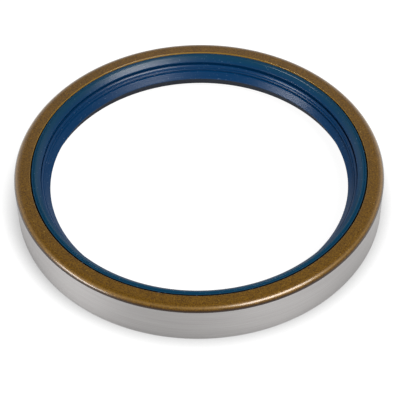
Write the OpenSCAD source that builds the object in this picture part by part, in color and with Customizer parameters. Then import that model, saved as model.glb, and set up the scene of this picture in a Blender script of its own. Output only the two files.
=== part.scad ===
// Rotary shaft seal for a heavy axle hub: a drawn steel case, a rubber lip ring moulded onto the case's
// flange, and a garter spring that closes the lip on the shaft.
// The ring stands on its open oil side with its axis on Z, so the flanged air side faces up.
// Every section is drawn in a plane through the axis, with the radius across and the height up.

/* [Fit sizes] */
// Diameter of the shaft that the lip runs on
shaft_d = 140; // [130:0.5:150]
// Diameter of the housing bore that the case is pressed into
housing_d = 170; // [160:0.5:190]
// Radial room between shaft and housing that wall_gap, flange_gap and bond_gap are given for
drawn_room = 15; // [13:0.5:18]
// Overall width of the seal along its axis
seal_width = 20.5; // [19.5:0.5:28]
// How much smaller than the shaft the free lip is, on diameter
lip_preload = 1.9; // [1.2:0.1:2.6]

/* [Steel case] */
// Thickness of the drawn sheet
sheet = 1.5; // [1.2:0.1:1.8]
// Outside radius of the bend from wall to flange, as drawn
case_bend = 3.5; // [3:0.1:4]
// How much the grinding takes off the drawn wall
grind = 0.2; // [0.1:0.05:0.3]
// Radial gap from the shaft to the flange's inner edge, which stretches with the radial room
flange_gap = 7.4; // [6.8:0.1:8]
// Rounding of the flange's inner edge on the air side
flange_round = 0.3; // [0.1:0.05:0.4]
// Height of the lead-in chamfer around the open rim
chamfer_height = 0.7; // [0.4:0.1:3]
// How far the lead-in chamfer cuts into the wall
chamfer_depth = 0.3; // [0.1:0.05:0.6]
// Rounding of the open rim's inner edge
rim_edge = 0.2; // [0.1:0.05:0.4]

/* [Rubber face] */
// How far the band beside the flange lies below the flange's face
band_step = 0.3; // [0.2:0.05:0.8]
// How far the rounded rim's top lies below the flange's face
rim_step = 0.05; // [0:0.05:0.15]
// Radial gap from the shaft to the rounded rim's outer edge, which stretches with the radial room
rim_gap = 5.8; // [5.6:0.05:6.2]
// Width of either side of the crease between band and rim, which stretches with the radial room
crease_side = 0.2; // [0.1:0.05:0.25]
// Depth of the crease below the band
crease_depth = 0.15; // [0.05:0.05:0.3]
// Width of the rim's top, which stretches with the radial room
rim_land = 0.75; // [0.6:0.05:0.9]
// Rounding between the rim's top and the leaning upper wall
rim_round = 1.2; // [0.8:0.05:1.4]
// Radial gap from the shaft to the upper wall's lower end, which stretches with the radial room
wall_gap = 2.9; // [2.75:0.05:3.2]
// Gap from the rubber under the flange to the case's bend, which stretches with the radial room
bond_gap = 1; // [0.8:0.1:3]
// Thickness of the rubber under the flange
bond_t = 1.1; // [0.8:0.1:1.5]
// How far inside the flange's edge the rubber's back leaves the flange
heel_inset = 0.6; // [0.2:0.1:1.2]

/* [Upper wall, dust bead and ridge] */
// Height of the upper wall's lower end, over the sealing edge
wall_end_rise = 7.65; // [7.3:0.05:7.9]
// Height of the floor of the pocket behind the bead, over the sealing edge
pocket_rise = 5.2; // [5:0.05:5.5]
// How far the pocket cuts back under the upper wall
pocket_undercut = 0.8; // [0.6:0.05:1]
// How far the bead's back slopes out to the pocket's floor
bead_back = 0.4; // [0.3:0.05:0.5]
// Height of the bead's top over the sealing edge
bead_top_rise = 5.95; // [5.8:0.05:6.2]
// Radial gap from the shaft to the bead's top, which stretches with the radial room
bead_top_gap = 2.75; // [2.6:0.05:2.9]
// Height of the bead's nose over the sealing edge
bead_rise = 5.5; // [5.2:0.1:5.7]
// Radial gap from the shaft to the bead's nose, which stretches with the radial room
bead_gap = 2.3; // [2.1:0.05:2.5]
// How far the bead's underside cuts back to the ridge
bead_undercut = 0.3; // [0.1:0.05:0.5]
// Height of the ridge's crest over the sealing edge
ridge_rise = 4.3; // [4.1:0.05:4.4]
// Radial gap from the shaft to the ridge's crest
ridge_gap = 1.2; // [0.8:0.05:1.4]
// Thickness of the ridge at its crest
ridge_t = 0.5; // [0.3:0.05:0.6]
// How far the ridge's crest leans back at its upper corner
ridge_lean = 0.4; // [0.3:0.05:0.45]

/* [Neck] */
// Thickness of the flexing neck
neck_t = 1.7; // [1.4:0.1:2]
// Radial gap from the shaft to the inside of the neck
neck_gap = 1.95; // [1.7:0.05:2.2]
// Height of the neck's inside, between ridge and head
neck_height = 0.6; // [0.4:0.05:0.7]

/* [Sealing lip] */
// Height of the sealing edge above the open rim
lip_height = 10.4; // [9.8:0.1:11]
// Width of the trimmed land on the sealing edge
lip_land = 0.4; // [0.2:0.05:0.6]
// Angle of the lip's air side to the axis
air_angle = 38; // [34:1:40]
// Angle of the lip's oil side to the axis
oil_angle = 26; // [20:1:30]
// Height of the head's air-side shoulder over the sealing edge
shoulder_rise = 2.8; // [2.5:0.05:2.9]
// Length of the head on the oil side of the sealing edge
head_length = 5.3; // [4.8:0.1:6]
// Width of the head's foot on the oil side
foot_width = 2; // [1.5:0.1:2.4]

/* [Garter spring] */
// Outside diameter of the spring's coils
coil_d = 2.8; // [2.4:0.1:3]
// Clearance around the coils in their groove
coil_clear = 0.1; // [0.05:0.01:0.2]
// Height of the spring's centre over the sealing edge
spring_rise = 0.1; // [-0.2:0.05:0.3]
// Rubber left between the sealing edge and the groove
groove_floor = 2.7; // [2.4:0.1:3]
// How far the groove's two lips reach past the spring's centre
groove_grip = 1.05; // [0.8:0.05:1.15]
// Thickness of the groove's two lips
groove_lip = 0.65; // [0.5:0.05:0.7]

/* [Hidden] */
$fn = 240;
// Largest turn in degrees between neighbouring points of a rounded corner
arc_step = 12;

shaft_r = shaft_d / 2;
case_r = housing_d / 2;
spread = (case_r - shaft_r) / drawn_room;

// The case's flange and bend, and its wall as drawn
flange_r = shaft_r + flange_gap * spread;
flange_under = seal_width - sheet;
inner_bend = case_bend - sheet;
drawn_r = case_r + grind;
bend_start = drawn_r - case_bend;

// Small fillets that every moulded corner has
crest_fillet = 0.1;
corner_fillet = 0.3;
nose_fillet = 0.4;
nip_fillet = 0.12;
toe_fillet = 0.45;
back_fillet = 0.3;
// Large fillets where the rubber flexes
neck_back_fillet = 1;
heel_fillet = 2;

// The rubber's air side, from the band beside the flange down to the ridge
band_z = seal_width - band_step;
rim_z = seal_width - rim_step;
rim_r = shaft_r + rim_gap * spread;
crease_r = rim_r + crease_side * spread;
band_r = crease_r + crease_side * spread;
wall_top_r = rim_r - rim_land * spread;
wall_r = shaft_r + wall_gap * spread;
pocket_r = wall_r + pocket_undercut;
bead_top_r = shaft_r + bead_top_gap * spread;
bead_r = shaft_r + bead_gap * spread;
ridge_r = shaft_r + ridge_gap;
ridge_top = ridge_rise + ridge_t / 2;
ridge_base = ridge_rise - ridge_t / 2;
nip_r = bead_r - bead_undercut;
nip_rise = (bead_rise + ridge_top) / 2;

// The lip's head around the sealing edge
edge_r = (shaft_d - lip_preload) / 2;
shoulder_r = edge_r + (shoulder_rise - lip_land / 2) * tan(air_angle);
foot_z = lip_height - head_length;
foot_r = edge_r + (head_length - lip_land / 2) * tan(oil_angle);

// The neck between the ridge and the head
neck_r = shaft_r + neck_gap;
neck_top = (ridge_base + shoulder_rise + neck_height) / 2;
neck_low = neck_top - neck_height;
neck_back = neck_r + neck_t;

// The spring's groove, with the spring pulled inwards until it all but touches the groove's floor
seat_gap = 0.01;
coil_r = coil_d / 2;
groove_r = coil_r + coil_clear;
groove_centre = edge_r + groove_floor + groove_r;
spring_centre = groove_centre - coil_clear + seat_gap;
spring_z = lip_height + spring_rise;
back_r = groove_centre + groove_grip;

// The rubber's oil side, from the neck back to the flange
heel_z = flange_under - bond_t;
heel_r = flange_r - heel_inset;
bond_r = bend_start - bond_gap * spread;

function unit(v) = v / norm(v);

// How far a fillet of radius f reaches along both sides of the corner b between its neighbours a and c
function fillet_reach(a, b, c, f) = f > 0 ? f / tan(acos(unit(a - b) * unit(c - b)) / 2) : 0;

// Points of the arc that rounds the corner b between its neighbours a and c, from the arc's reach
function rounded_corner(a, b, c, reach) =
    let (
        back = unit(a - b),
        ahead = unit(c - b),
        half = acos(back * ahead) / 2,
        centre = b + unit(back + ahead) * reach / cos(half),
        first = b + back * reach - centre,
        turn = 180 - 2 * half,
        side = cross(back, ahead) > 0 ? -1 : 1,
        steps = ceil(turn / arc_step)
    )
    [for (k = [0 : steps])
        let (swing = side * turn * k / steps)
        centre + [first.x * cos(swing) - first.y * sin(swing), first.x * sin(swing) + first.y * cos(swing)]];

// Closed outline from corners given as [radius, height, fillet], where a fillet of 0 keeps the corner sharp
// Where a side is too short for the fillets at its two ends, both shrink by the same share
function outline(corners) =
    let (
        count = len(corners),
        place = [for (corner = corners) [corner[0], corner[1]]],
        before = [for (i = [0 : count - 1]) place[(i + count - 1) % count]],
        after = [for (i = [0 : count - 1]) place[(i + 1) % count]],
        reach = [for (i = [0 : count - 1]) fillet_reach(before[i], place[i], after[i], corners[i][2])],
        back_need = [for (i = [0 : count - 1]) reach[i] + reach[(i + count - 1) % count]],
        ahead_need = [for (i = [0 : count - 1]) reach[i] + reach[(i + 1) % count]]
    )
    [for (i = [0 : count - 1])
        let (
            back_share = norm(before[i] - place[i]) / back_need[i],
            ahead_share = norm(after[i] - place[i]) / ahead_need[i],
            share = min(1, back_share, ahead_share)
        )
        each (reach[i] > 0 ? rounded_corner(before[i], place[i], after[i], reach[i] * share) : [place[i]])];

// One sheet drawn into a cup with an open floor: the wall, the bend and the flange
// The wall is then ground to size, which cuts the bend off at a sharp edge, and gets its lead-in chamfer
module steel_case() {
    color("#6b5230")
    rotate_extrude()
    intersection() {
        polygon(outline([
            [flange_r, seal_width, flange_round],
            [drawn_r, seal_width, case_bend],
            [drawn_r, 0, 0],
            [drawn_r - sheet, 0, rim_edge],
            [drawn_r - sheet, flange_under, inner_bend],
            [flange_r, flange_under, 0]
        ]));
        polygon([
            [0, 0],
            [case_r - chamfer_depth, 0],
            [case_r, chamfer_height],
            [case_r, seal_width],
            [0, seal_width]
        ]);
    }
}

// One moulding: the face with its rim, the leaning upper wall, the pocket, the dust bead and ridge, the neck
// and the lip's head
module rubber_lip() {
    color("#14395c")
    rotate_extrude()
    difference() {
        polygon(outline([
            [flange_r, band_z, 0],
            [band_r, band_z, 0],
            [crease_r, band_z - crease_depth, 0],
            [rim_r, rim_z, crest_fillet],
            [wall_top_r, rim_z, rim_round],
            [wall_r, lip_height + wall_end_rise, nip_fillet],
            [pocket_r, lip_height + pocket_rise, corner_fillet],
            [bead_top_r + bead_back, lip_height + pocket_rise, corner_fillet],
            [bead_top_r, lip_height + bead_top_rise, nip_fillet],
            [bead_r, lip_height + bead_rise, nose_fillet],
            [nip_r, lip_height + nip_rise, nip_fillet],
            [nip_r, lip_height + ridge_top, nip_fillet],
            [ridge_r + ridge_lean, lip_height + ridge_top, nip_fillet],
            [ridge_r, lip_height + ridge_base, nip_fillet],
            [neck_r, lip_height + neck_top, nip_fillet],
            [neck_r, lip_height + neck_low, nip_fillet],
            [shoulder_r, lip_height + shoulder_rise, corner_fillet],
            [edge_r, lip_height + lip_land / 2, 0],
            [edge_r, lip_height - lip_land / 2, 0],
            [foot_r, foot_z, toe_fillet],
            [foot_r + foot_width, foot_z, toe_fillet],
            [back_r, spring_z - groove_r - groove_lip, back_fillet],
            [back_r, spring_z + groove_r + groove_lip, back_fillet],
            [neck_back, lip_height + neck_top, neck_back_fillet],
            [heel_r, heel_z, heel_fillet],
            [bond_r, heel_z, toe_fillet],
            [bond_r, flange_under, 0],
            [flange_r, flange_under, 0]
        ]));
        translate([groove_centre, spring_z]) circle(r = groove_r, $fn = 60);
    }
}

// The close-wound spring as the ring that its coils fill
module garter_spring() {
    color("#a9abad")
    rotate_extrude()
    translate([spring_centre, spring_z])
    circle(r = coil_r, $fn = 60);
}

steel_case();
rubber_lip();
garter_spring();
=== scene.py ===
"""Looks of a rotary shaft seal for a heavy axle hub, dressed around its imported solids.

The ring stands on its open oil side, with its axis on Z and its flanged air side up. Sections are drawn in
a plane through the axis, with the radius across and the height up. They are in millimetres, and MM turns
them into metres.
"""

import logging
import math
from collections.abc import Sequence
from dataclasses import dataclass, field, replace
from enum import Enum, IntEnum

import bpy
import numpy as np
from mathutils import Matrix, Vector


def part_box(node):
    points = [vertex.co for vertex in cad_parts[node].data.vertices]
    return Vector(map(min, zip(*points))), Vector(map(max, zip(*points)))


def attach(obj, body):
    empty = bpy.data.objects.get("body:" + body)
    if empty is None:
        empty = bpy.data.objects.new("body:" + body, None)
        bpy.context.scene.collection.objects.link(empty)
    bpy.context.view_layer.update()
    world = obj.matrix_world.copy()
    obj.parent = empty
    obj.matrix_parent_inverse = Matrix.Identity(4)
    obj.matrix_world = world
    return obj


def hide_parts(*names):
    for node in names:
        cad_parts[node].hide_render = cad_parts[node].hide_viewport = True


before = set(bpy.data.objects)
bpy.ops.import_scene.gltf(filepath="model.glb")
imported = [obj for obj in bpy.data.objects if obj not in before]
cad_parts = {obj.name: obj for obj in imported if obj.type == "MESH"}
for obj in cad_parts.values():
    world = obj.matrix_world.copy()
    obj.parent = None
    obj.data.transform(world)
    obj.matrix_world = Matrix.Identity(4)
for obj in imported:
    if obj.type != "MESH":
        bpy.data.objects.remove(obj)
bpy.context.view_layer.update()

# A radius and a height in a section, in millimetres.
Place = tuple[float, float]

LOG = logging.getLogger("shaft_seal")
IMAGE_SIDE_PX = 400
MM = 0.001

# A fold sharper than this is shaded as an edge.
SHARP_DEG = 32.0

# A straight stretch longer than LONG_MM gets a point this close to each of its ends.
HOLD_MM = 0.06
LONG_MM = 0.36

# Most of a noise's values lie between these two.
NOISE_LOW, NOISE_HIGH = 0.3, 0.7

# Octaves of the noise that draws tool marks.
MARK_OCTAVES = 3.0

# The Mix node's colour sockets go by number, because other sockets have their names.
MIX_A, MIX_B, MIX_OUT = 6, 7, 2

# Turns the highlight on ground steel so that it is drawn out across the marks, up and down the wall.
QUARTER_TURN = 0.25


def linear_colour(code: str) -> tuple[float, float, float, float]:
    """Turn an sRGB hex colour into the linear colour that a shader takes.

    Args:
        code: Six hex digits, such as "8a6a3c".

    Returns:
        Linear red, green and blue, and an alpha of 1.
    """
    channels = [int(code[i:i + 2], 16) / 255 for i in (0, 2, 4)]
    linear = [c / 12.92 if c <= 0.04045 else ((c + 0.055) / 1.055) ** 2.4 for c in channels]
    return (linear[0], linear[1], linear[2], 1.0)


def add_node(
    tree: bpy.types.NodeTree,
    kind: str,
    settings: dict[str, object] | None = None,
    inputs: dict[str | int, object] | None = None,
) -> bpy.types.Node:
    """Add a node with its settings, its input values and its links.

    Args:
        tree: The node tree that takes the node.
        kind: The node's type name.
        settings: Properties of the node by name.
        inputs: Values or output sockets by input name or number. Sockets are linked, values are set.

    Returns:
        The new node.
    """
    node = tree.nodes.new(kind)
    for name, value in (settings or {}).items():
        setattr(node, name, value)
    for name, value in (inputs or {}).items():
        if isinstance(value, bpy.types.NodeSocket):
            tree.links.new(value, node.inputs[name])
        else:
            node.inputs[name].default_value = value
    return node


def set_ramp(node: bpy.types.Node, stops: Sequence[tuple[float, object]]) -> None:
    """Give a colour ramp its stops.

    Args:
        node: The colour ramp node.
        stops: Position and colour of each stop. A colour is a hex code, or a grey level from 0 to 1.
    """
    elements = node.color_ramp.elements
    while len(elements) < len(stops):
        elements.new(1.0)
    for element, (position, colour) in zip(elements, stops):
        element.position = position
        is_code = isinstance(colour, str)
        element.color = linear_colour(colour) if is_code else (colour, colour, colour, 1.0)


class Zone(IntEnum):
    """Number of the material slot that a stretch of a section takes.

    On the case SECOND is the bare steel of the ground wall and the open rim. On the rubber SECOND is the
    oil side and THIRD is the joint.
    """

    MAIN = 0
    SECOND = 1
    THIRD = 2


@dataclass(frozen=True)
class Corner:
    """One corner of a section in millimetres, and the finish of the stretch that leads on from it."""

    radius: float
    height: float
    fillet: float = 0.0
    zone: Zone = Zone.MAIN


@dataclass(frozen=True)
class RingPoint:
    """One point of a rounded section in millimetres, and the finish of the stretch that leads on."""

    radius: float
    height: float
    zone: Zone


def round_corner(before: Corner, corner: Corner, after: Corner, step_deg: float) -> list[RingPoint]:
    """Replace one corner by the points of its fillet.

    Args:
        before: The corner before it.
        corner: The corner that is rounded.
        after: The corner after it.
        step_deg: Largest turn between neighbouring points.

    Returns:
        The fillet's points, or the corner itself where it is sharp.
    """
    place = Vector((corner.radius, corner.height))
    if corner.fillet <= 0:
        return [RingPoint(corner.radius, corner.height, corner.zone)]
    back = (Vector((before.radius, before.height)) - place).normalized()
    ahead = (Vector((after.radius, after.height)) - place).normalized()
    half = math.acos(max(-1.0, min(1.0, back.dot(ahead)))) / 2
    centre = place + (back + ahead).normalized() * (corner.fillet / math.sin(half))
    first = place + back * (corner.fillet / math.tan(half)) - centre
    turn = math.pi - 2 * half
    side = -1 if back.x * ahead.y - back.y * ahead.x > 0 else 1
    steps = max(2, math.ceil(math.degrees(turn) / step_deg))
    points = []
    for k in range(steps + 1):
        swung = first.copy()
        swung.rotate(Matrix.Rotation(side * turn * k / steps, 2))
        zone = corner.zone if k == steps else before.zone
        points.append(RingPoint(centre.x + swung.x, centre.y + swung.y, zone))
    return points


def draw_section(corners: list[Corner], step_deg: float) -> list[RingPoint]:
    """Turn a closed list of corners into the points of a section.

    The point close to each end of a long straight stretch holds the shading of the fillets beside it.

    Args:
        corners: The section's corners in order.
        step_deg: Largest turn between neighbouring points of a fillet.

    Returns:
        The points of the closed section, in the order of the corners.
    """
    rounded: list[RingPoint] = []
    for i, corner in enumerate(corners):
        after = corners[(i + 1) % len(corners)]
        rounded += round_corner(corners[i - 1], corner, after, step_deg)
    points: list[RingPoint] = []
    for i, point in enumerate(rounded):
        after = rounded[(i + 1) % len(rounded)]
        points.append(point)
        span = math.hypot(after.radius - point.radius, after.height - point.height)
        if span < LONG_MM:
            continue
        for share in (HOLD_MM / span, 1 - HOLD_MM / span):
            radius = point.radius + (after.radius - point.radius) * share
            height = point.height + (after.height - point.height) * share
            points.append(RingPoint(radius, height, point.zone))
    return points


def reverse_section(points: list[RingPoint]) -> list[RingPoint]:
    """Turn round the order of a section's points, so that each stretch keeps its finish.

    Args:
        points: The points of a closed section.

    Returns:
        The same places in the other order, each with the finish of the stretch that now leads on from it.
    """
    turned = points[::-1]
    ahead = turned[1:] + turned[:1]
    return [replace(point, zone=after.zone) for point, after in zip(turned, ahead)]


def turn_section(
    name: str,
    points: list[RingPoint],
    segments: int,
    materials: list[bpy.types.Material],
) -> bpy.types.Object:
    """Turn a closed section round the Z axis into one watertight ring.

    Args:
        name: Name of the new object.
        points: The section's points, clockwise with the radius across and the height up.
        segments: Number of steps round the ring.
        materials: Materials by zone.

    Returns:
        The new object, linked to the scene.
    """
    count = len(points)
    radius = np.array([p.radius for p in points])[:, None]
    height = np.array([p.height for p in points])[:, None]
    angle = np.arange(segments)[None, :] * (2 * math.pi / segments)
    around = np.stack(np.broadcast_arrays(radius * np.cos(angle), radius * np.sin(angle), height), -1)
    i, j = np.meshgrid(np.arange(count), np.arange(segments), indexing="ij")
    ahead, along = (i + 1) % count, (j + 1) % segments
    faces = np.stack(
        [i * segments + j, ahead * segments + j, ahead * segments + along, i * segments + along], -1
    )
    mesh = bpy.data.meshes.new(name)
    mesh.from_pydata((around.reshape(-1, 3) * MM).tolist(), [], faces.reshape(-1, 4).tolist())
    zones = np.repeat(np.array([int(p.zone) for p in points], dtype=np.int32), segments)
    for material in materials:
        mesh.materials.append(material)
    mesh.polygons.foreach_set("material_index", zones)
    mesh.shade_smooth()
    mesh.set_sharp_from_angle(angle=math.radians(SHARP_DEG))
    piece = bpy.data.objects.new(name, mesh)
    bpy.context.scene.collection.objects.link(piece)
    return piece


def add_place(tree: bpy.types.NodeTree) -> tuple[bpy.types.NodeSocket, ...]:
    """Add the nodes that read a point's place on the ring.

    Args:
        tree: The material's node tree.

    Returns:
        Sockets with the place as a vector, the distance from the axis and the height, in metres.
    """
    place = add_node(tree, "ShaderNodeTexCoord").outputs["Object"]
    axes = add_node(tree, "ShaderNodeSeparateXYZ", inputs={0: place})
    level = (1.0, 1.0, 0.0)
    flat = add_node(tree, "ShaderNodeVectorMath", {"operation": "MULTIPLY"}, {0: place, 1: level})
    radius = add_node(tree, "ShaderNodeVectorMath", {"operation": "LENGTH"}, {0: flat.outputs[0]})
    return place, radius.outputs["Value"], axes.outputs["Z"]


def add_rings(tree: bpy.types.NodeTree, pitch_mm: float, run_mm: float) -> bpy.types.NodeSocket:
    """Add noise that is drawn out round the axis, as tool marks and mould marks are.

    Args:
        tree: The material's node tree.
        pitch_mm: Distance between neighbouring marks across the surface.
        run_mm: Length of one mark along the surface.

    Returns:
        The noise's value, from 0 to 1.
    """
    place, radius, _ = add_place(tree)
    per_run, per_pitch = 1 / (run_mm * MM), 1 / (pitch_mm * MM)
    stretch = (per_run, per_run, per_pitch)
    drawn = add_node(tree, "ShaderNodeVectorMath", {"operation": "MULTIPLY"}, {0: place, 1: stretch})
    across = add_node(tree, "ShaderNodeMath", {"operation": "MULTIPLY"}, {0: radius, 1: per_pitch})
    noise = add_node(
        tree,
        "ShaderNodeTexNoise",
        {"noise_dimensions": "4D"},
        {"Vector": drawn.outputs[0], "W": across.outputs[0], "Scale": 1.0, "Detail": MARK_OCTAVES},
    )
    return noise.outputs[0]


def add_grain(tree: bpy.types.NodeTree, size_mm: float, detail: float = 2.0) -> bpy.types.NodeSocket:
    """Add noise of the same size in every direction.

    Args:
        tree: The material's node tree.
        size_mm: Size of one grain.
        detail: Octaves of the noise.

    Returns:
        The noise's value, from 0 to 1.
    """
    place = add_node(tree, "ShaderNodeTexCoord").outputs["Object"]
    inputs = {"Vector": place, "Scale": 1 / (size_mm * MM), "Detail": detail}
    return add_node(tree, "ShaderNodeTexNoise", inputs=inputs).outputs[0]


def start_material(name: str) -> tuple[bpy.types.Material, bpy.types.NodeTree, bpy.types.Node]:
    """Make a material with one Principled shader.

    Args:
        name: The material's name.

    Returns:
        The material, its node tree and its Principled node.
    """
    material = bpy.data.materials.new(name)
    material.use_nodes = True
    tree = material.node_tree
    return material, tree, tree.nodes["Principled BSDF"]


@dataclass(frozen=True)
class BondingFilm:
    """Phosphated sheet steel under a brown-gold film of rubber bonding agent, sprayed and baked.

    The film is thin and half clear over grey steel. It gives a warm brown with fine grain, small light
    flecks and a satin gloss. Painted shade darkens it at the foot of the bend, where it meets the ground
    wall, a painted glint turns the flange's inner edge gold, and a painted highlight runs a little paler
    along the bend. The grain is drawn coarser than the spray's real grain of about 0.1 mm, so that it
    shows.
    """

    dark: str = "4e3309"
    light: str = "805b10"
    fleck: str = "a88640"
    # Painted shade: the film is darkened towards this colour at the foot of the bend, where it meets the
    # ground wall.
    edge: str = "261404"
    # Painted glint: the flange's inner edge is lit towards this gold.
    painted_glint: str = "a8823c"
    # Painted highlight: a band along the bend is lit paler towards this colour.
    painted_bend_highlight: str = "b89458"
    metallic: float = 0.18
    roughness: float = 0.38
    specular: float = 0.25
    coat: float = 0.8
    coat_roughness: float = 0.2
    grain_mm: float = 0.55
    grain_low: float = 0.34
    grain_high: float = 0.68
    mottle_mm: float = 5.0
    mottle_dark: float = 0.86
    fleck_mm: float = 0.9
    fleck_low: float = 0.7
    fleck_high: float = 0.78
    fleck_share: float = 0.6
    peel_mm: float = 0.8
    peel_depth_mm: float = 0.02
    peel_strength: float = 0.25
    end_radius_mm: float = 84.86
    fade_mm: float = 0.6
    glint_radius_mm: float = 77.58
    glint_width_mm: float = 0.12
    bend_highlight_height_mm: float = 19.8
    bend_highlight_half_mm: float = 0.5
    bend_highlight_share: float = 0.22

    def sprayed(self, tree: bpy.types.NodeTree) -> bpy.types.NodeSocket:
        """Add the colour of the film as sprayed and baked.

        Args:
            tree: The material's node tree.

        Returns:
            The colour of grain, mottle and flecks.
        """
        spray = add_grain(tree, self.grain_mm, detail=3.0)
        grain = add_node(tree, "ShaderNodeValToRGB", inputs={0: spray})
        set_ramp(grain, [(self.grain_low, self.dark), (self.grain_high, self.light)])
        mottle = add_node(tree, "ShaderNodeValToRGB", inputs={0: add_grain(tree, self.mottle_mm)})
        set_ramp(mottle, [(NOISE_LOW, self.mottle_dark), (NOISE_HIGH, 1.0)])
        toned = add_node(
            tree,
            "ShaderNodeMix",
            {"data_type": "RGBA", "blend_type": "MULTIPLY"},
            {"Factor": 1.0, MIX_A: grain.outputs[0], MIX_B: mottle.outputs[0]},
        )
        spatter = add_grain(tree, self.fleck_mm, detail=1.0)
        flecks = add_node(tree, "ShaderNodeValToRGB", inputs={0: spatter})
        set_ramp(flecks, [(self.fleck_low, 0.0), (self.fleck_high, self.fleck_share)])
        flecked = add_node(
            tree,
            "ShaderNodeMix",
            {"data_type": "RGBA"},
            {
                "Factor": flecks.outputs[0],
                MIX_A: toned.outputs[MIX_OUT],
                MIX_B: linear_colour(self.fleck),
            },
        )
        return flecked.outputs[MIX_OUT]

    def with_painted_light(self, tree: bpy.types.NodeTree, colour: bpy.types.NodeSocket) -> bpy.types.NodeSocket:
        """Paint shade at the film's lower end, a glint on the flange's edge and a highlight along the
        bend.

        Args:
            tree: The material's node tree.
            colour: The colour of the film as sprayed.

        Returns:
            The colour of the film with its painted shade, glint and highlight.
        """
        _, radius, height = add_place(tree)
        # Painted shade at the foot of the bend, where the film meets the ground wall.
        in_end_shade = add_node(
            tree,
            "ShaderNodeMapRange",
            {"interpolation_type": "SMOOTHSTEP"},
            {
                "Value": radius,
                "From Min": (self.end_radius_mm - self.fade_mm) * MM,
                "From Max": self.end_radius_mm * MM,
            },
        )
        # Painted glint along the flange's inner edge.
        on_glint = add_node(
            tree,
            "ShaderNodeMapRange",
            {"interpolation_type": "SMOOTHSTEP"},
            {
                "Value": radius,
                "From Min": self.glint_radius_mm * MM,
                "From Max": (self.glint_radius_mm + self.glint_width_mm) * MM,
                "To Min": 1.0,
                "To Max": 0.0,
            },
        )
        # Painted highlight in a band along the bend, at one height.
        above = add_node(
            tree, "ShaderNodeMath", {"operation": "SUBTRACT"}, {0: height, 1: self.bend_highlight_height_mm * MM}
        )
        away = add_node(tree, "ShaderNodeMath", {"operation": "ABSOLUTE"}, {0: above.outputs[0]})
        in_bend_highlight = add_node(
            tree,
            "ShaderNodeMapRange",
            {"interpolation_type": "SMOOTHSTEP"},
            {
                "Value": away.outputs[0],
                "From Min": 0.0,
                "From Max": self.bend_highlight_half_mm * MM,
                "To Min": self.bend_highlight_share,
                "To Max": 0.0,
            },
        )
        for share, code in ((in_end_shade, self.edge), (on_glint, self.painted_glint), (in_bend_highlight, self.painted_bend_highlight)):
            mixed = add_node(
                tree,
                "ShaderNodeMix",
                {"data_type": "RGBA"},
                {"Factor": share.outputs[0], MIX_A: colour, MIX_B: linear_colour(code)},
            )
            colour = mixed.outputs[MIX_OUT]
        return colour

    def make(self) -> bpy.types.Material:
        """Make the film's material, whose uneven surface comes from the spray.

        Returns:
            The new material.
        """
        material, tree, shader = start_material("baked_bonding_film_on_steel")
        peel = add_node(
            tree,
            "ShaderNodeBump",
            inputs={
                "Strength": self.peel_strength,
                "Distance": self.peel_depth_mm * MM,
                "Height": add_grain(tree, self.peel_mm),
            },
        )
        tree.links.new(self.with_painted_light(tree, self.sprayed(tree)), shader.inputs["Base Color"])
        tree.links.new(peel.outputs[0], shader.inputs["Normal"])
        shader.inputs["Metallic"].default_value = self.metallic
        shader.inputs["Roughness"].default_value = self.roughness
        shader.inputs["Specular IOR Level"].default_value = self.specular
        shader.inputs["Coat Weight"].default_value = self.coat
        shader.inputs["Coat Roughness"].default_value = self.coat_roughness
        return material


@dataclass(frozen=True)
class GroundSteel:
    """Plain carbon steel, ground on its outside wall.

    The wheel leaves fine marks that run round the ring. They spread a reflection up and down the wall and
    give soft upright bands of light. The marks are drawn coarser than the wheel's real grit of about
    0.05 mm, so that they show.
    """

    light: str = "b2b0af"
    dark: str = "9d9a99"
    roughness: float = 0.46
    roughness_swing: float = 0.05
    anisotropic: float = 0.75
    mark_mm: float = 0.12
    mark_run_mm: float = 30.0
    mark_depth_mm: float = 0.01
    mark_strength: float = 0.15

    def make(self) -> bpy.types.Material:
        """Make the ground wall's material.

        Returns:
            The new material.
        """
        material, tree, shader = start_material("ground_carbon_steel")
        marks = add_rings(tree, self.mark_mm, self.mark_run_mm)
        tone = add_node(tree, "ShaderNodeValToRGB", inputs={0: marks})
        set_ramp(tone, [(NOISE_LOW, self.dark), (NOISE_HIGH, self.light)])
        rough = add_node(
            tree,
            "ShaderNodeMapRange",
            inputs={
                "Value": marks,
                "To Min": self.roughness - self.roughness_swing,
                "To Max": self.roughness + self.roughness_swing,
            },
        )
        bump = add_node(
            tree,
            "ShaderNodeBump",
            inputs={"Strength": self.mark_strength, "Distance": self.mark_depth_mm * MM, "Height": marks},
        )
        tangent = add_node(tree, "ShaderNodeTangent", {"direction_type": "RADIAL", "axis": "Z"})
        tree.links.new(tone.outputs[0], shader.inputs["Base Color"])
        tree.links.new(rough.outputs[0], shader.inputs["Roughness"])
        tree.links.new(bump.outputs[0], shader.inputs["Normal"])
        tree.links.new(tangent.outputs[0], shader.inputs["Tangent"])
        shader.inputs["Metallic"].default_value = 1.0
        shader.inputs["Anisotropic"].default_value = self.anisotropic
        shader.inputs["Anisotropic Rotation"].default_value = QUARTER_TURN
        return material


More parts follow.
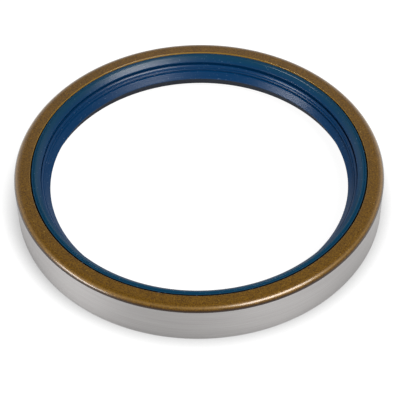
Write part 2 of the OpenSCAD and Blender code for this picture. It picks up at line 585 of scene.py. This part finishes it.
@dataclass(frozen=True)
class MouldedRubber:
    """Nitrile rubber, moulded against turned steel.

    It is a deep blue with a satin skin. Towards the top it is tinted a touch greener, which is a painted
    reflection of the pale surroundings on its upward faces. The mould's turning marks show as fine streaks
    round the ring, drawn coarser than the tool's real feed of about 0.1 mm, and dust leaves small light
    specks. The gloss is a thin, dense coat over a dull body, because real rubber stays dark at a flat
    angle, where a plain gloss turns white.
    """

    name: str = "moulded_nitrile_rubber"
    deep: str = "002d53"
    light: str = "00365f"
    # Painted reflection: towards the top the rubber is tinted to this colour, for the pale surroundings
    # its upward faces mirror.
    painted_top_sheen: str = "063751"
    speck: str = "5f7590"
    top_sheen_start_mm: float = 17.5
    top_sheen_end_mm: float = 20.3
    roughness: float = 0.6
    skin: float = 0.21
    skin_ior: float = 2.0
    skin_roughness: float = 0.28
    streak_mm: float = 0.25
    streak_run_mm: float = 25.0
    streak_depth_mm: float = 0.05
    streak_strength: float = 0.5
    speck_mm: float = 0.7
    speck_low: float = 0.76
    speck_high: float = 0.82
    speck_share: float = 0.5

    def make(self) -> bpy.types.Material:
        """Make the rubber's material.

        Returns:
            The new material.
        """
        material, tree, shader = start_material(self.name)
        streaks = add_rings(tree, self.streak_mm, self.streak_run_mm)
        tone = add_node(tree, "ShaderNodeValToRGB", inputs={0: streaks})
        set_ramp(tone, [(NOISE_LOW, self.deep), (NOISE_HIGH, self.light)])
        _, _, height = add_place(tree)
        # Painted reflection, greener towards the top.
        painted_top_sheen = add_node(
            tree,
            "ShaderNodeMapRange",
            {"interpolation_type": "SMOOTHSTEP"},
            {"Value": height, "From Min": self.top_sheen_start_mm * MM, "From Max": self.top_sheen_end_mm * MM},
        )
        with_top_sheen = add_node(
            tree,
            "ShaderNodeMix",
            {"data_type": "RGBA"},
            {"Factor": painted_top_sheen.outputs[0], MIX_A: tone.outputs[0], MIX_B: linear_colour(self.painted_top_sheen)},
        )
        dust = add_grain(tree, self.speck_mm, detail=0.0)
        specks = add_node(tree, "ShaderNodeValToRGB", inputs={0: dust})
        set_ramp(specks, [(self.speck_low, 0.0), (self.speck_high, self.speck_share)])
        specked = add_node(
            tree,
            "ShaderNodeMix",
            {"data_type": "RGBA"},
            {
                "Factor": specks.outputs[0],
                MIX_A: with_top_sheen.outputs[MIX_OUT],
                MIX_B: linear_colour(self.speck),
            },
        )
        bump = add_node(
            tree,
            "ShaderNodeBump",
            inputs={
                "Strength": self.streak_strength,
                "Distance": self.streak_depth_mm * MM,
                "Height": streaks,
            },
        )
        shader.inputs["Roughness"].default_value = self.roughness
        # The body has no gloss of its own. The coat gives all of it.
        shader.inputs["Specular IOR Level"].default_value = 0.0
        shader.inputs["Coat Weight"].default_value = self.skin
        shader.inputs["Coat IOR"].default_value = self.skin_ior
        shader.inputs["Coat Roughness"].default_value = self.skin_roughness
        tree.links.new(specked.outputs[MIX_OUT], shader.inputs["Base Color"])
        tree.links.new(bump.outputs[0], shader.inputs["Normal"])
        tree.links.new(bump.outputs[0], shader.inputs["Coat Normal"])
        return material


@dataclass(frozen=True)
class SpringWire:
    """Spring steel wire, drawn bright and left under a trace of oil.

    It mirrors its surroundings softly, with small darker patches. They are drawn coarser than the die's
    real marks of about 0.02 mm, so that they show.
    """

    light: str = "b8b9ba"
    dark: str = "8d8e90"
    roughness: float = 0.28
    mark_mm: float = 0.2

    def make(self) -> bpy.types.Material:
        """Make the wire's material.

        Returns:
            The new material.
        """
        material, tree, shader = start_material("drawn_spring_wire")
        tone = add_node(tree, "ShaderNodeValToRGB", inputs={0: add_grain(tree, self.mark_mm)})
        set_ramp(tone, [(NOISE_LOW, self.dark), (NOISE_HIGH, self.light)])
        tree.links.new(tone.outputs[0], shader.inputs["Base Color"])
        shader.inputs["Metallic"].default_value = 1.0
        shader.inputs["Roughness"].default_value = self.roughness
        return material


@dataclass
class SteelCase:
    """The drawn sheet-steel cup: flange, bend and a wall that is ground to size.

    Sizes are in millimetres.
    """

    sheet: float = 1.5
    bend: float = 3.5
    grind: float = 0.2
    flange_inner: float = 77.55
    flange_round: float = 0.3
    chamfer_height: float = 0.7
    chamfer_depth: float = 0.3
    rim_edge: float = 0.2
    film_overrun: float = 0.15
    bend_step_deg: float = 5.0
    fillet_step_deg: float = 7.0
    segments: int = 720
    outer: float = field(init=False)
    top: float = field(init=False)

    def __post_init__(self) -> None:
        """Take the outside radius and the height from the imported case."""
        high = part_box("steel_case")[1]
        self.outer = high.x / MM
        self.top = high.z / MM

    def bend_arc(self) -> list[Corner]:
        """Draw the outside of the bend, from the flange down to the edge where the grinding cuts it off.

        Returns:
            The corners of the arc, and a last one on the ground wall, where the film ends.
        """
        centre_r = self.outer + self.grind - self.bend
        centre_z = self.top - self.bend
        end = math.acos(1 - self.grind / self.bend)
        steps = math.ceil(math.degrees(math.pi / 2 - end) / self.bend_step_deg)
        turns = [math.pi / 2 + (end - math.pi / 2) * k / steps for k in range(steps + 1)]
        corners = [
            Corner(centre_r + self.bend * math.cos(a), centre_z + self.bend * math.sin(a)) for a in turns
        ]
        edge = corners[-1]
        return corners + [Corner(edge.radius, edge.height - self.film_overrun, zone=Zone.SECOND)]

    def section(self) -> list[Corner]:
        """Draw the case's section.

        Returns:
            The corners, clockwise from the flange's inner edge.
        """
        inner = self.outer + self.grind - self.sheet
        under = self.top - self.sheet
        return [
            Corner(self.flange_inner, self.top, self.flange_round),
            *self.bend_arc(),
            Corner(self.outer, self.chamfer_height, zone=Zone.SECOND),
            Corner(self.outer - self.chamfer_depth, 0.0, zone=Zone.SECOND),
            Corner(inner, 0.0, self.rim_edge),
            Corner(inner, under, self.bend - self.sheet),
            Corner(self.flange_inner, under),
        ]

    def build(self) -> bpy.types.Object:
        """Turn the section and dress it.

        Returns:
            The case.
        """
        points = draw_section(self.section(), self.fillet_step_deg)
        materials = [BondingFilm().make(), GroundSteel().make()]
        piece = turn_section("drawn_case", points, self.segments, materials)
        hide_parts("steel_case")
        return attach(piece, "root")


@dataclass
class RubberLip:
    """The rubber ring moulded onto the flange: face, wall, dust bead and ridge, neck and sealing head.

    The joint is a narrow groove along the flange's edge, painted near black as shade in the crevice.
    Sizes are in millimetres, and a single number is a radius unless its name says what else it is.
    """

    flange_inner: float = 77.55
    joint_width: float = 0.68
    joint_depth: float = 0.55
    band_height: float = 20.2
    crease: Place = (76.0, 20.05)
    crease_side: float = 0.2
    rim: Place = (75.8, 20.45)
    rim_land: float = 0.6
    drop_end: Place = (74.95, 20.05)
    cone_end: Place = (72.95, 18.3)
    wall_end: Place = (72.9, 18.05)
    pocket: Place = (73.7, 15.6)
    bead_back: Place = (73.15, 15.6)
    bead_top: Place = (72.75, 16.35)
    bead: Place = (72.3, 15.9)
    nip: Place = (72.0, 15.425)
    ridge_top: Place = (71.6, 14.95)
    ridge: Place = (71.2, 14.45)
    neck: float = 71.95
    neck_top: float = 14.125
    neck_low: float = 13.525
    shoulder: Place = (71.081, 13.2)
    edge: float = 69.05
    edge_top: float = 10.6
    edge_low: float = 10.2
    foot: Place = (71.537, 5.1)
    foot_width: float = 2.0
    back: float = 74.3
    back_low: float = 8.35
    back_top: float = 12.65
    groove_centre: Place = (73.25, 10.5)
    groove_round: float = 1.5
    groove_steps: int = 20
    neck_back: Place = (73.65, 14.15)
    heel: Place = (76.8, 17.9)
    bond: float = 80.7
    flange_under: float = 19.0
    crest_fillet: float = 0.1
    nip_fillet: float = 0.12
    corner_fillet: float = 0.3
    nose_fillet: float = 0.4
    toe_fillet: float = 0.45
    neck_back_fillet: float = 1.0
    heel_fillet: float = 2.0
    fillet_step_deg: float = 10.0
    segments: int = 384

    def air_side(self) -> list[Corner]:
        """Draw the air side, from the joint beside the flange down to the sealing edge.

        Returns:
            The corners, inwards over the rounded rim and down past the pocket, the bead and the ridge.
        """
        return [
            Corner(self.flange_inner, self.band_height - self.joint_depth, zone=Zone.THIRD),
            Corner(self.flange_inner - self.joint_width, self.band_height),
            Corner(self.crease[0] + self.crease_side, self.band_height),
            Corner(*self.crease),
            Corner(*self.rim, self.crest_fillet),
            Corner(self.rim[0] - self.rim_land, self.rim[1], self.corner_fillet),
            Corner(*self.drop_end, self.corner_fillet),
            Corner(*self.cone_end, self.nose_fillet),
            Corner(*self.wall_end, self.nip_fillet),
            Corner(*self.pocket, self.corner_fillet),
            Corner(*self.bead_back, self.corner_fillet),
            Corner(*self.bead_top, self.nip_fillet),
            Corner(*self.bead, self.nose_fillet),
            Corner(*self.nip, self.nip_fillet),
            Corner(self.nip[0], self.ridge_top[1], self.nip_fillet),
            Corner(*self.ridge_top, self.nip_fillet),
            Corner(*self.ridge, self.nip_fillet),
            Corner(self.neck, self.neck_top, self.nip_fillet),
            Corner(self.neck, self.neck_low, self.nip_fillet),
            Corner(*self.shoulder, self.corner_fillet),
            Corner(self.edge, self.edge_top),
            Corner(self.edge, self.edge_low, zone=Zone.SECOND),
        ]

    def groove(self) -> list[Corner]:
        """Draw the spring's groove.

        Returns:
            The corners, from the groove's lower lip round its floor to its upper lip.
        """
        centre_r, centre_z = self.groove_centre
        mouth = math.acos((self.back - centre_r) / self.groove_round)
        sweep = 2 * (math.pi - mouth)
        turns = [-mouth - sweep * k / self.groove_steps for k in range(self.groove_steps + 1)]
        return [
            Corner(centre_r + self.groove_round * math.cos(a), centre_z + self.groove_round * math.sin(a))
            for a in turns
        ]

    def oil_side(self) -> list[Corner]:
        """Draw the oil side, from the head's foot up its back to the flange.

        Returns:
            The corners, all in the oil side's finish.
        """
        corners = [
            Corner(*self.foot, self.toe_fillet),
            Corner(self.foot[0] + self.foot_width, self.foot[1], self.toe_fillet),
            Corner(self.back, self.back_low, self.corner_fillet),
            *self.groove(),
            Corner(self.back, self.back_top, self.corner_fillet),
            Corner(*self.neck_back, self.neck_back_fillet),
            Corner(*self.heel, self.heel_fillet),
            Corner(self.bond, self.heel[1], self.toe_fillet),
            Corner(self.bond, self.flange_under),
        ]
        return [replace(corner, zone=Zone.SECOND) for corner in corners]

    def build(self) -> bpy.types.Object:
        """Turn the section and dress it.

        Returns:
            The lip.
        """
        bonded = Corner(self.flange_inner, self.flange_under)
        section = draw_section([*self.air_side(), *self.oil_side(), bonded], self.fillet_step_deg)
        # The oil side is the same rubber with less gloss, painted greyer and darker as shade under the
        # lip.
        # The joint is painted near black, as shade in the crevice along the flange's edge.
        oil_side = MouldedRubber(name="nitrile_rubber_with_painted_shade", deep="30353f", light="3b404c", skin=0.06)
        joint_shade = MouldedRubber(
            name="painted_shade_in_the_joint", deep="0a0805", light="120e08", painted_top_sheen="0e0b07", skin=0.0
        )
        materials = [MouldedRubber().make(), oil_side.make(), joint_shade.make()]
        piece = turn_section("moulded_lip", reverse_section(section), self.segments, materials)
        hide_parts("rubber_lip")
        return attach(piece, "root")


@dataclass
class GarterSpring:
    """The close-wound coil spring that closes the lip on the shaft.

    Sizes are in millimetres.
    """

    wire: float = 0.5
    pitch: float = 0.56
    steps_per_turn: int = 12
    sides: int = 5
    ring: float = field(init=False)
    middle: float = field(init=False)
    coil: float = field(init=False)

    def __post_init__(self) -> None:
        """Take the spring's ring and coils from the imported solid."""
        low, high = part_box("garter_spring")
        self.coil = (high.z - low.z) / 2 / MM
        self.middle = (high.z + low.z) / 2 / MM
        self.ring = high.x / MM - self.coil

    def centre_line(self) -> tuple[np.ndarray, np.ndarray, np.ndarray]:
        """Work out the wire's centre line.

        Returns:
            The points of the line, the unit vectors out of the coil, and the unit vectors along the wire.
        """
        turns = round(2 * math.pi * self.ring / self.pitch)
        count = turns * self.steps_per_turn
        around = np.arange(count) * (2 * math.pi / count)
        coil_turn = around * turns
        reach = self.coil - self.wire / 2
        outward = np.stack([np.cos(around), np.sin(around), np.zeros(count)], -1)
        upward = np.array([0.0, 0.0, 1.0])
        out = outward * np.cos(coil_turn)[:, None] + upward * np.sin(coil_turn)[:, None]
        line = outward * self.ring + out * reach + upward * self.middle
        along = np.roll(line, -1, axis=0) - np.roll(line, 1, axis=0)
        along /= np.linalg.norm(along, axis=1)[:, None]
        return line, out, along

    def build(self) -> bpy.types.Object:
        """Sweep the wire round its centre line and dress it.

        Returns:
            The spring.
        """
        line, out, along = self.centre_line()
        cross = np.cross(along, out)
        corner = np.arange(self.sides)[None, :, None] * (2 * math.pi / self.sides)
        around = out[:, None, :] * np.cos(corner) + cross[:, None, :] * np.sin(corner)
        points = line[:, None, :] + around * (self.wire / 2)
        count = len(line)
        i, j = np.meshgrid(np.arange(count), np.arange(self.sides), indexing="ij")
        here, ahead = i * self.sides, (i + 1) % count * self.sides
        beside = (j + 1) % self.sides
        faces = np.stack([here + j, here + beside, ahead + beside, ahead + j], -1)
        mesh = bpy.data.meshes.new("coiled_spring")
        mesh.from_pydata((points.reshape(-1, 3) * MM).tolist(), [], faces.reshape(-1, 4).tolist())
        mesh.materials.append(SpringWire().make())
        mesh.shade_smooth()
        piece = bpy.data.objects.new("coiled_spring", mesh)
        bpy.context.scene.collection.objects.link(piece)
        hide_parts("garter_spring")
        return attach(piece, "root")


class Side(Enum):
    """Side of the set that a lamp stands on, as degrees round from the front of the ring."""

    LEFT = -65.0
    RIGHT = 45.0


@dataclass(frozen=True)
class Softbox:
    """One soft rectangular lamp aimed at the ring."""

    side: Side
    elevation_deg: float
    width_mm: float
    height_mm: float
    radiance: float
    distance_mm: float = 900.0

    def build(self) -> bpy.types.Object:
        """Make the lamp and aim it.

        Returns:
            The lamp.
        """
        lamp = bpy.data.lights.new("softbox_" + self.side.name.lower(), "AREA")
        lamp.shape = "RECTANGLE"
        lamp.size = self.width_mm * MM
        lamp.size_y = self.height_mm * MM
        lamp.energy = self.radiance * math.pi * lamp.size * lamp.size_y
        azimuth, elevation = math.radians(self.side.value), math.radians(self.elevation_deg)
        back = Vector(
            (
                math.sin(azimuth) * math.cos(elevation),
                -math.cos(azimuth) * math.cos(elevation),
                math.sin(elevation),
            )
        )
        piece = bpy.data.objects.new(lamp.name, lamp)
        piece.location = back * (self.distance_mm * MM)
        piece.rotation_mode = "QUATERNION"
        piece.rotation_quaternion = (-back).to_track_quat("-Z", "Y")
        bpy.context.scene.collection.objects.link(piece)
        return piece


@dataclass(frozen=True)
class Studio:
    """Pale floor, soft lamps, a dim sky and the camera.

    Each stop of a sky is the height of a direction, from 0 at the horizon to 1 overhead, and its level.
    """

    floor_side_mm: float = 6000.0
    floor_colour: str = "808080"
    floor_lift: float = 0.92
    contact_mm: float = 9.5
    contact_start_mm: float = 80.0
    contact_full_mm: float = 84.0
    plain_sky: tuple[tuple[float, float], ...] = ((0.05, 0.6), (0.12, 0.2), (0.72, 0.2), (0.9, 0.08))
    rear_sky: tuple[tuple[float, float], ...] = (
        (0.05, 0.6),
        (0.1, 1.0),
        (0.3, 1.0),
        (0.45, 0.7),
        (0.54, 0.7),
        (0.76, 0.08),
    )
    rear_start: float = 0.1
    rear_full: float = 0.6
    elevation_deg: float = 47.09
    distance_mm: float = 656.2
    clip_start_mm: float = 10.0
    clip_end_mm: float = 20000.0
    sensor_mm: float = 36.0
    lens_mm: float = 125.44
    roll_deg: float = -0.83
    origin_px: tuple[float, float] = (199.33, 194.20)
    lamps: tuple[Softbox, ...] = (
        Softbox(Side.LEFT, elevation_deg=20.0, width_mm=440.0, height_mm=200.0, radiance=15.5),
        Softbox(Side.RIGHT, elevation_deg=49.0, width_mm=500.0, height_mm=270.0, radiance=18.5),
    )

    def floor(self) -> bpy.types.Object:
        """Lay the floor.

        Its grey sends little light back up to the ring, while camera and mirror rays see it near white.
        The ring's shadow stays on it, and so does the dark line of contact under the rim.

        Returns:
            The floor.
        """
        half = self.floor_side_mm / 2 * MM
        corners = [(-half, -half, 0), (half, -half, 0), (half, half, 0), (-half, half, 0)]
        mesh = bpy.data.meshes.new("paper_floor")
        mesh.from_pydata(corners, [], [(0, 1, 2, 3)])
        material, tree, shader = start_material("matt_grey_paper")
        shader.inputs["Base Color"].default_value = linear_colour(self.floor_colour)
        shader.inputs["Roughness"].default_value = 1.0
        shader.inputs["Specular IOR Level"].default_value = 0.0
        ray = add_node(tree, "ShaderNodeLightPath")
        mirrored = add_node(
            tree,
            "ShaderNodeMath",
            {"operation": "MAXIMUM"},
            {0: ray.outputs["Is Glossy Ray"], 1: ray.outputs["Is Transmission Ray"]},
        )
        seen = add_node(
            tree,
            "ShaderNodeMath",
            {"operation": "MAXIMUM"},
            {0: ray.outputs["Is Camera Ray"], 1: mirrored.outputs[0]},
        )
        open_sky = add_node(tree, "ShaderNodeAmbientOcclusion", inputs={"Distance": self.contact_mm * MM})
        _, radius, _ = add_place(tree)
        outside = add_node(
            tree,
            "ShaderNodeMapRange",
            inputs={
                "Value": radius,
                "From Min": self.contact_start_mm * MM,
                "From Max": self.contact_full_mm * MM,
                "To Min": 0.0,
                "To Max": self.floor_lift,
            },
        )
        shade = add_node(
            tree, "ShaderNodeMath", {"operation": "SUBTRACT"}, {0: 1.0, 1: open_sky.outputs["AO"]}
        )
        shadow = add_node(
            tree, "ShaderNodeMath", {"operation": "MULTIPLY"}, {0: shade.outputs[0], 1: outside.outputs[0]}
        )
        paper = add_node(
            tree, "ShaderNodeMath", {"operation": "SUBTRACT"}, {0: self.floor_lift, 1: shadow.outputs[0]}
        )
        lift = add_node(
            tree, "ShaderNodeMath", {"operation": "MULTIPLY"}, {0: seen.outputs[0], 1: paper.outputs[0]}
        )
        tree.links.new(lift.outputs[0], shader.inputs["Emission Strength"])
        shader.inputs["Emission Color"].default_value = (1.0, 1.0, 1.0, 1.0)
        mesh.materials.append(material)
        floor = bpy.data.objects.new("paper_floor", mesh)
        bpy.context.scene.collection.objects.link(floor)
        return floor

    def world(self) -> None:
        """Make the surroundings: a pale horizon, brighter and higher at the rear, and dim overhead."""
        world = bpy.data.worlds.new("studio_surroundings")
        world.use_nodes = True
        bpy.context.scene.world = world
        tree = world.node_tree
        direction = add_node(tree, "ShaderNodeTexCoord").outputs["Generated"]
        way = add_node(tree, "ShaderNodeSeparateXYZ", inputs={0: direction})
        plain = add_node(tree, "ShaderNodeValToRGB", inputs={0: way.outputs["Z"]})
        set_ramp(plain, self.plain_sky)
        rear = add_node(tree, "ShaderNodeValToRGB", inputs={0: way.outputs["Z"]})
        set_ramp(rear, self.rear_sky)
        behind = add_node(
            tree,
            "ShaderNodeMapRange",
            {"interpolation_type": "SMOOTHSTEP"},
            {"Value": way.outputs["Y"], "From Min": self.rear_start, "From Max": self.rear_full},
        )
        sky = add_node(
            tree,
            "ShaderNodeMix",
            {"data_type": "RGBA"},
            {"Factor": behind.outputs[0], MIX_A: plain.outputs[0], MIX_B: rear.outputs[0]},
        )
        tree.links.new(sky.outputs[MIX_OUT], tree.nodes["Background"].inputs["Color"])

    def camera(self) -> bpy.types.Object:
        """Set up the camera at the photograph's angle, with the ring's base centre at its pixel.

        Returns:
            The camera.
        """
        data = bpy.data.cameras.new("camera")
        data.sensor_width = self.sensor_mm
        data.lens = self.lens_mm
        data.shift_x = (IMAGE_SIDE_PX / 2 - self.origin_px[0]) / IMAGE_SIDE_PX
        data.shift_y = (self.origin_px[1] - IMAGE_SIDE_PX / 2) / IMAGE_SIDE_PX
        data.clip_start = self.clip_start_mm * MM
        data.clip_end = self.clip_end_mm * MM
        elevation = math.radians(self.elevation_deg)
        back = Vector((0.0, -math.cos(elevation), math.sin(elevation)))
        camera = bpy.data.objects.new("camera", data)
        camera.location = back * (self.distance_mm * MM)
        camera.rotation_mode = "QUATERNION"
        aim = (-back).to_track_quat("-Z", "Y")
        roll = Matrix.Rotation(math.radians(self.roll_deg), 3, "Z")
        camera.rotation_quaternion = aim @ roll.to_quaternion()
        bpy.context.scene.collection.objects.link(camera)
        bpy.context.scene.camera = camera
        return camera

    def build(self) -> None:
        """Set up the whole studio."""
        self.camera()
        self.floor()
        self.world()
        for lamp in self.lamps:
            lamp.build()
        bpy.context.scene.view_settings.view_transform = "Standard"


def main() -> None:
    logging.basicConfig(level=logging.INFO)
    Studio().build()
    for maker in (SteelCase(), RubberLip(), GarterSpring()):
        piece = maker.build()
        LOG.info("%s: %d faces", piece.name, len(piece.data.polygons))


if __name__ == "__main__":
    main()
